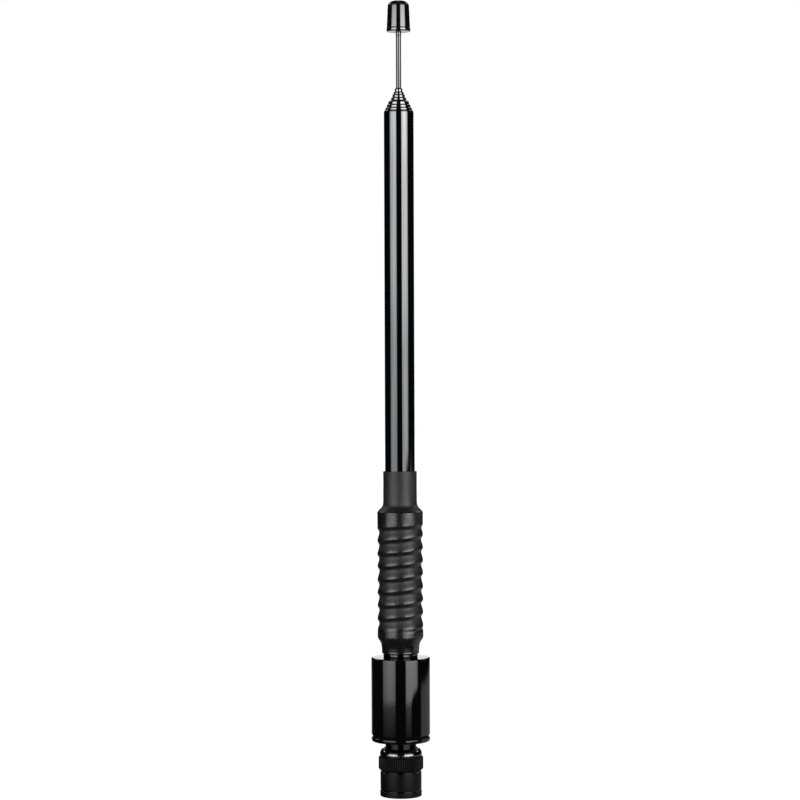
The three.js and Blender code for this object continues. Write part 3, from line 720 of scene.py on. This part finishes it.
def nut_corners():
    """The nut's outline: lip, sleeve with its two grooves, knurl, dome, throat and bore."""
    top = high("coupling_nut") / MM
    knurl = radius("coupling_nut") / MM
    return [[r * MM, z * MM, fillet * MM] for r, z, fillet in (
        (5.0, 0.25, 0), (5.15, 0, 0), (6.62, 0, 0.1), (6.75, 0.18, 0.12), (6.75, 1.75, 0.12),
        (6.55, 1.85, 0.06), (6.55, 2.1, 0.06), (6.66, 2.25, 0.1), (6.66, 7.75, 0.08),
        (6.5, 7.9, 0.05), (6.5, 8.2, 0.05), (6.66, 8.38, 0.05),
        (knurl, 8.98, 0.1), (knurl, 12.55, 0.1), (knurl - 0.25, 12.8, 0.06),
        (6.62, 12.85, 0.05), (6.62, 13.2, 0.05), (6.82, 13.35, 0.12), (6.82, 13.75, 0.3),
        (6.7, 14.35, 0.3), (6.45, 14.85, 0.3), (6.05, 15.3, 0.3), (5.5, top - 0.02, 0.25),
        (5.15, 14.9, 0.2), (5.15, 13.7, 0), (5.75, 13.7, 0), (5.75, 8.3, 0), (5.0, 8.3, 0),
    )]


def slot_cutter(entry_angle):
    """A bayonet slot: straight in from the open face, then curving round the bore to a round detent."""
    half, entry, rise, sweep = 1.2 * MM, 2.6 * MM, 3.6 * MM, 6.9 * MM
    inner, outer, bore = 4.2 * MM, 5.7 * MM, 5.0 * MM
    # each column holds the slot's left and right edge, as (round the bore, up)
    columns = [((-half, z), (half, z)) for z in (-1 * MM, 0.8 * MM)]
    for k in range(SLOT_STEPS + 1):
        t = TURN / 4 * k / SLOT_STEPS
        x, z = sweep * (1 - math.cos(t)), entry + rise * math.sin(t)
        along = Vector((sweep * math.sin(t), rise * math.cos(t))).normalized() * half
        columns.append(((x - along.y, z + along.x), (x + along.y, z - along.x)))
    for k in range(1, SLOT_END_STEPS):
        t = TURN / 4 * k / SLOT_END_STEPS
        x, across = sweep + half * math.sin(t), half * math.cos(t)
        columns.append(((x, entry + rise + across), (x, entry + rise - across)))
    bm = bmesh.new()
    grid = []
    for left, right in columns:
        loop = []
        for r, order in ((inner, range(SLOT_STRIPS + 1)), (outer, range(SLOT_STRIPS, -1, -1))):
            for i in order:
                x, z = Vector(left).lerp(Vector(right), i / SLOT_STRIPS)
                angle = entry_angle + x / bore
                loop.append(bm.verts.new((r * math.cos(angle), r * math.sin(angle), z)))
        grid.append(loop)
    around = len(grid[0])
    for here, following in zip(grid, grid[1:]):
        for i in range(around):
            j = (i + 1) % around
            bm.faces.new((here[i], here[j], following[j], following[i]))
    for loop in (grid[0], grid[-1]):
        for i in range(SLOT_STRIPS):
            bm.faces.new((loop[i], loop[i + 1], loop[around - 2 - i], loop[around - 1 - i]))
    return finish_mesh("slot_cutter", bm)


def subtract(piece, cutter):
    modifier = piece.modifiers.new("cut", "BOOLEAN")
    modifier.operation = "DIFFERENCE"
    modifier.solver = "EXACT"
    modifier.object = cutter
    depsgraph = bpy.context.evaluated_depsgraph_get()
    result = bpy.data.meshes.new_from_object(piece.evaluated_get(depsgraph))
    piece.modifiers.clear()
    piece.data = result
    result.shade_smooth()
    result.set_sharp_from_angle(angle=math.radians(30))
    bpy.data.objects.remove(cutter)


def build_nut():
    knurl = radius("coupling_nut")
    points = rounded(nut_corners(), 4)

    def shape(r, z, angle, _index):
        share = smooth(6.7 * MM, knurl, r)
        ridge = abs(math.sin(KNURL_RIDGES * angle / 2))
        return r - KNURL_DEPTH * share * (1 - ridge), z

    nut = revolve("nut", points, KNURL_RIDGES * KNURL_SAMPLES, shape, 30)
    for entry in (TURN / 4, TURN * 3 / 4):
        subtract(nut, slot_cutter(entry))
    stand_for(nut, "coupling_nut", "coupling", PLUG_PLATING, "plug_black")
    paint_where(nut, DOME_CHROME, lambda r, z: r > DOME[0] and z > DOME[1])
    paint_where(nut, GROOVE_CHROME, lambda r, z: r > 6.3 * MM and any(a < z < b for a, b in NUT_GROOVES))


PLUG_NECK_R = 5.0 * MM
PLUG_FLANGE_R = 5.6 * MM
PLUG_FLANGE_HEIGHT = 1.6 * MM
PLUG_SHANK_R = 4.0 * MM
CONTACT_BORE_R = 3.5 * MM
CONTACT_SEAT = (4.05 * MM, 12.55 * MM)
PIN_R = 0.68 * MM


def build_plug_body():
    seat_r, seat_top = CONTACT_SEAT
    bottom, top = low("plug_body"), high("plug_body")
    flange_top = bottom + PLUG_FLANGE_HEIGHT
    neck_top = low("housing_base") - FIT
    corners = [
        [seat_r, bottom, 0.1 * MM],
        [PLUG_FLANGE_R, bottom, 0.15 * MM],
        [PLUG_FLANGE_R, flange_top, 0.15 * MM],
        [PLUG_NECK_R, flange_top, 0],
        [PLUG_NECK_R, neck_top, 0.1 * MM],
        [PLUG_SHANK_R, neck_top, 0],
        [PLUG_SHANK_R, top, 0.15 * MM],
        [CONTACT_BORE_R, top, 0],
        [CONTACT_BORE_R, seat_top, 0],
        [seat_r, seat_top, 0],
    ]
    body = revolve("plug_barrel", rounded(corners))
    stand_for(body, "plug_body", "base", DARK_CHROME, "black_chrome")


def build_outer_contact():
    """The spring sleeve round the plug's insulator, slit into four fingers."""
    bottom, top = low("plug_outer_contact"), high("plug_outer_contact")
    outer = PLUG_SHANK_R
    corners = [
        [CONTACT_BORE_R, bottom + 0.2 * MM, 0.1 * MM],
        [outer - 0.3 * MM, bottom, 0.1 * MM],
        [outer, bottom + 0.15 * MM, 0.15 * MM],
        [outer, bottom + 1.1 * MM, 0.3 * MM],
        [outer - 0.06 * MM, bottom + 1.6 * MM, 0.3 * MM],
        [outer, bottom + 5.4 * MM, 0.3 * MM],
        [outer, top, 0],
        [CONTACT_BORE_R, top, 0],
    ]
    contact = revolve("finger_contact", rounded(corners))
    size = Matrix.Diagonal((12 * MM, 0.5 * MM, 6 * MM, 1))
    place = Matrix.Translation((0, 0, bottom + 2.0 * MM))
    for turn in (0, TURN / 4):
        bm = bmesh.new()
        bmesh.ops.create_cube(bm, size=1, matrix=Matrix.Rotation(turn, 4, "Z") @ place @ size)
        subtract(contact, finish_mesh("finger_slot", bm))
    stand_for(contact, "plug_outer_contact", "base", BRIGHT_STEEL, "spring_steel")


def build_plug():
    build_plug_body()
    build_outer_contact()

    bottom, top = low("plug_centre_pin"), high("plug_centre_pin")
    corners = [
        [0, bottom, 0],
        [0.28 * MM, bottom, 0.15 * MM],
        [PIN_R, bottom + 0.75 * MM, 0.35 * MM],
        [PIN_R, top, 0.1 * MM],
        [0, top, 0],
    ]
    centre = revolve("centre_pin", rounded(corners, 6), 48)
    stand_for(centre, "plug_centre_pin", "base", GOLD, "gold")

    rings = (
        ("insulator", "plug_insulator", PIN_R + FIT, 3.45 * MM, 0.12 * MM, WHITE_POLYMER, "ptfe"),
        ("gasket", "plug_gasket", 4.05 * MM, 4.9 * MM, 0.25 * MM, RED_SILICONE, "silicone"),
    )
    for name, node_name, bore, outer, fillet, material, slot_name in rings:
        bottom, top = low(node_name), high(node_name)
        corners = [[bore, bottom, fillet], [outer, bottom, fillet], [outer, top, fillet], [bore, top, fillet]]
        piece = revolve(name, rounded(corners))
        stand_for(piece, node_name, "base", material, slot_name)


# ---- light, floor and camera ----

# softbox outlines as degrees round the object from the front, positive to the right, and brightness
LEFT_STRIP = ((-75, 0), (-72, 0.45), (-60, 0.74), (-42, 0.92), (-28, 0.8), (-22, 0.66), (-19, 0))
RIGHT_STRIP = ((19, 0), (22, 1.0), (40, 1.12), (58, 1.05), (68, 0.75), (72, 0))
RIGHT_INNER = 21                   # the right strip narrows towards this side
STRIP_TOP = 1.12
STRIP_PEAK = 3.2
STRIP_LEVELS = (                   # degrees above the horizon, brightness
    (-90, 0.0), (-16, 0.0), (-9.8, 0.25), (-9.0, 0.4), (-8.5, 0.95), (-7.3, 1.05), (-2.4, 1.3), (-0.6, 1.6),
    (1.3, 1.9), (5, 2.1), (9, 2.9), (13, 1.9), (18, 0.8), (26, 0.35), (36, 0.1), (50, 0.03), (90, 0.02))
RIGHT_TAPER = ((-90, 1.2), (-8.8, 1.2), (-7.3, 0.6), (-6.6, 0.0), (90, 0.0))   # how much narrower low down
BACKDROP = ((-180, 1), (-176, 1), (-173, 0), (173, 0), (176, 1), (180, 1))
BACKDROP_PEAK = 1.4
BACKDROP_LEVELS = ((-90, 0.3), (-20, 0.5), (-5, 0.6), (3, 1.4), (12, 1.4), (40, 0.7), (90, 0.4))
TABLE = (
    (-180, 0.3), (-158, 0.3), (-148, 0), (84, 0), (92, 0.26), (140, 0.2), (150, 0.16), (162, 0.35), (180, 0.35))
TABLE_PEAK = 1.2
TABLE_LEVELS = ((-90, 0.3), (-30, 1.0), (-6.8, 1.2), (-5.8, 0.0), (90, 0.0))
KICKERS = ((-140, 0), (-134, 1), (-122, 1), (-116, 0), (116, 0), (122, 1), (134, 1), (140, 0))
KICKER_PEAK = 2.2
KICKER_LEVELS = ((-90, 0.0), (24, 0.0), (28, 4.0), (38, 4.0), (43, 0.0), (90, 0.0))
FILL = 0.008
WHITE = (1, 1, 1, 1)


def around(world, turn, stops, peak=1.0):
    """Brightness by degrees round the object, as a share of the peak."""
    return grey_ramp(world, turn, [(angle / 360 + 0.5, level / peak) for angle, level in stops])


def upward(world, height, stops, peak):
    """Brightness by degrees above the horizon, as a share of the peak."""
    places = [(math.sin(math.radians(angle)) / 2 + 0.5, level / peak) for angle, level in stops]
    return grey_ramp(world, height, places)


def build_world():
    """A white studio: the camera sees white, the object reflects softboxes, a backdrop and a table."""
    world = bpy.data.worlds.new("studio")
    bpy.context.scene.world = world
    world.use_nodes = True
    world.node_tree.nodes.clear()

    coords = node(world, "ShaderNodeTexCoord")
    x, y, z = split_axes(world, coords.outputs["Generated"])
    azimuth = combine(world, "ARCTAN2", x, combine(world, "MULTIPLY", y, -1.0))
    turn = combine(world, "ADD", combine(world, "DIVIDE", azimuth, TURN), 0.5)
    height = combine(world, "ADD", combine(world, "MULTIPLY", z, 0.5), 0.5)

    from_inner = combine(world, "SUBTRACT", turn, 0.5 + RIGHT_INNER / 360)
    tapered = combine(world, "MULTIPLY", from_inner, upward(world, height, RIGHT_TAPER, 1.0))
    strip_turn = combine(world, "ADD", turn, combine(world, "MAXIMUM", tapered, 0.0))
    total = FILL
    for place, outline, top, levels, peak in (
        (strip_turn, LEFT_STRIP + RIGHT_STRIP, STRIP_TOP, STRIP_LEVELS, STRIP_PEAK * STRIP_TOP),
        (turn, BACKDROP, 1.0, BACKDROP_LEVELS, BACKDROP_PEAK),
        (turn, TABLE, 1.0, TABLE_LEVELS, TABLE_PEAK),
        (turn, KICKERS, 1.0, KICKER_LEVELS, KICKER_PEAK),
    ):
        most = max(level for _, level in levels)
        across = around(world, place, outline, top)
        light = combine(world, "MULTIPLY", across, upward(world, height, levels, most))
        total = combine(world, "ADD", combine(world, "MULTIPLY", light, peak), total)

    studio = node(world, "ShaderNodeBackground")
    studio.inputs["Color"].default_value = WHITE
    link(world, total, studio.inputs["Strength"])
    white = node(world, "ShaderNodeBackground")
    white.inputs["Color"].default_value = WHITE
    path = node(world, "ShaderNodeLightPath")
    mix = node(world, "ShaderNodeMixShader")
    link(world, path.outputs["Is Camera Ray"], mix.inputs[0])
    link(world, studio.outputs[0], mix.inputs[1])
    link(world, white.outputs[0], mix.inputs[2])
    output = node(world, "ShaderNodeOutputWorld")
    link(world, mix.outputs[0], output.inputs["Surface"])


FLOOR_R = 3.0
FLOOR_DROP = 0.5 * MM


def build_floor():
    bm = bmesh.new()
    bmesh.ops.create_circle(bm, cap_ends=True, segments=96, radius=FLOOR_R)
    floor = finish_mesh("floor", bm)
    floor.location.z = -FLOOR_DROP
    material, shader = new_material("floor_white", (0.5, 0.5, 0.5), 0.9)
    shader.inputs["Emission Color"].default_value = WHITE
    shader.inputs["Emission Strength"].default_value = 1.0
    floor.data.materials.append(material)
    floor.visible_glossy = False


EYE_LEVEL = 0.145
DISTANCE = 0.8
LENS = 111.45
SENSOR = 36
AIM_DOWN = math.radians(1.205)
ROLL = math.radians(-0.2)
SIDE = 0.0001


def build_camera():
    data = bpy.data.cameras.new("camera")
    data.lens = LENS
    data.sensor_width = SENSOR
    camera = bpy.data.objects.new("camera", data)
    bpy.context.scene.collection.objects.link(camera)
    turn = Matrix.Rotation(math.pi / 2 - AIM_DOWN, 4, "X") @ Matrix.Rotation(ROLL, 4, "Z")
    camera.matrix_world = Matrix.Translation((SIDE, -DISTANCE, EYE_LEVEL)) @ turn
    bpy.context.scene.camera = camera


finish_cad_nodes()
build_camera()
build_world()
build_floor()
build_mast()
build_tip()
build_sleeve()
build_spring()
build_braid()
build_housing()
build_nut()
build_plug()

bpy.context.scene.view_settings.view_transform = "Standard"
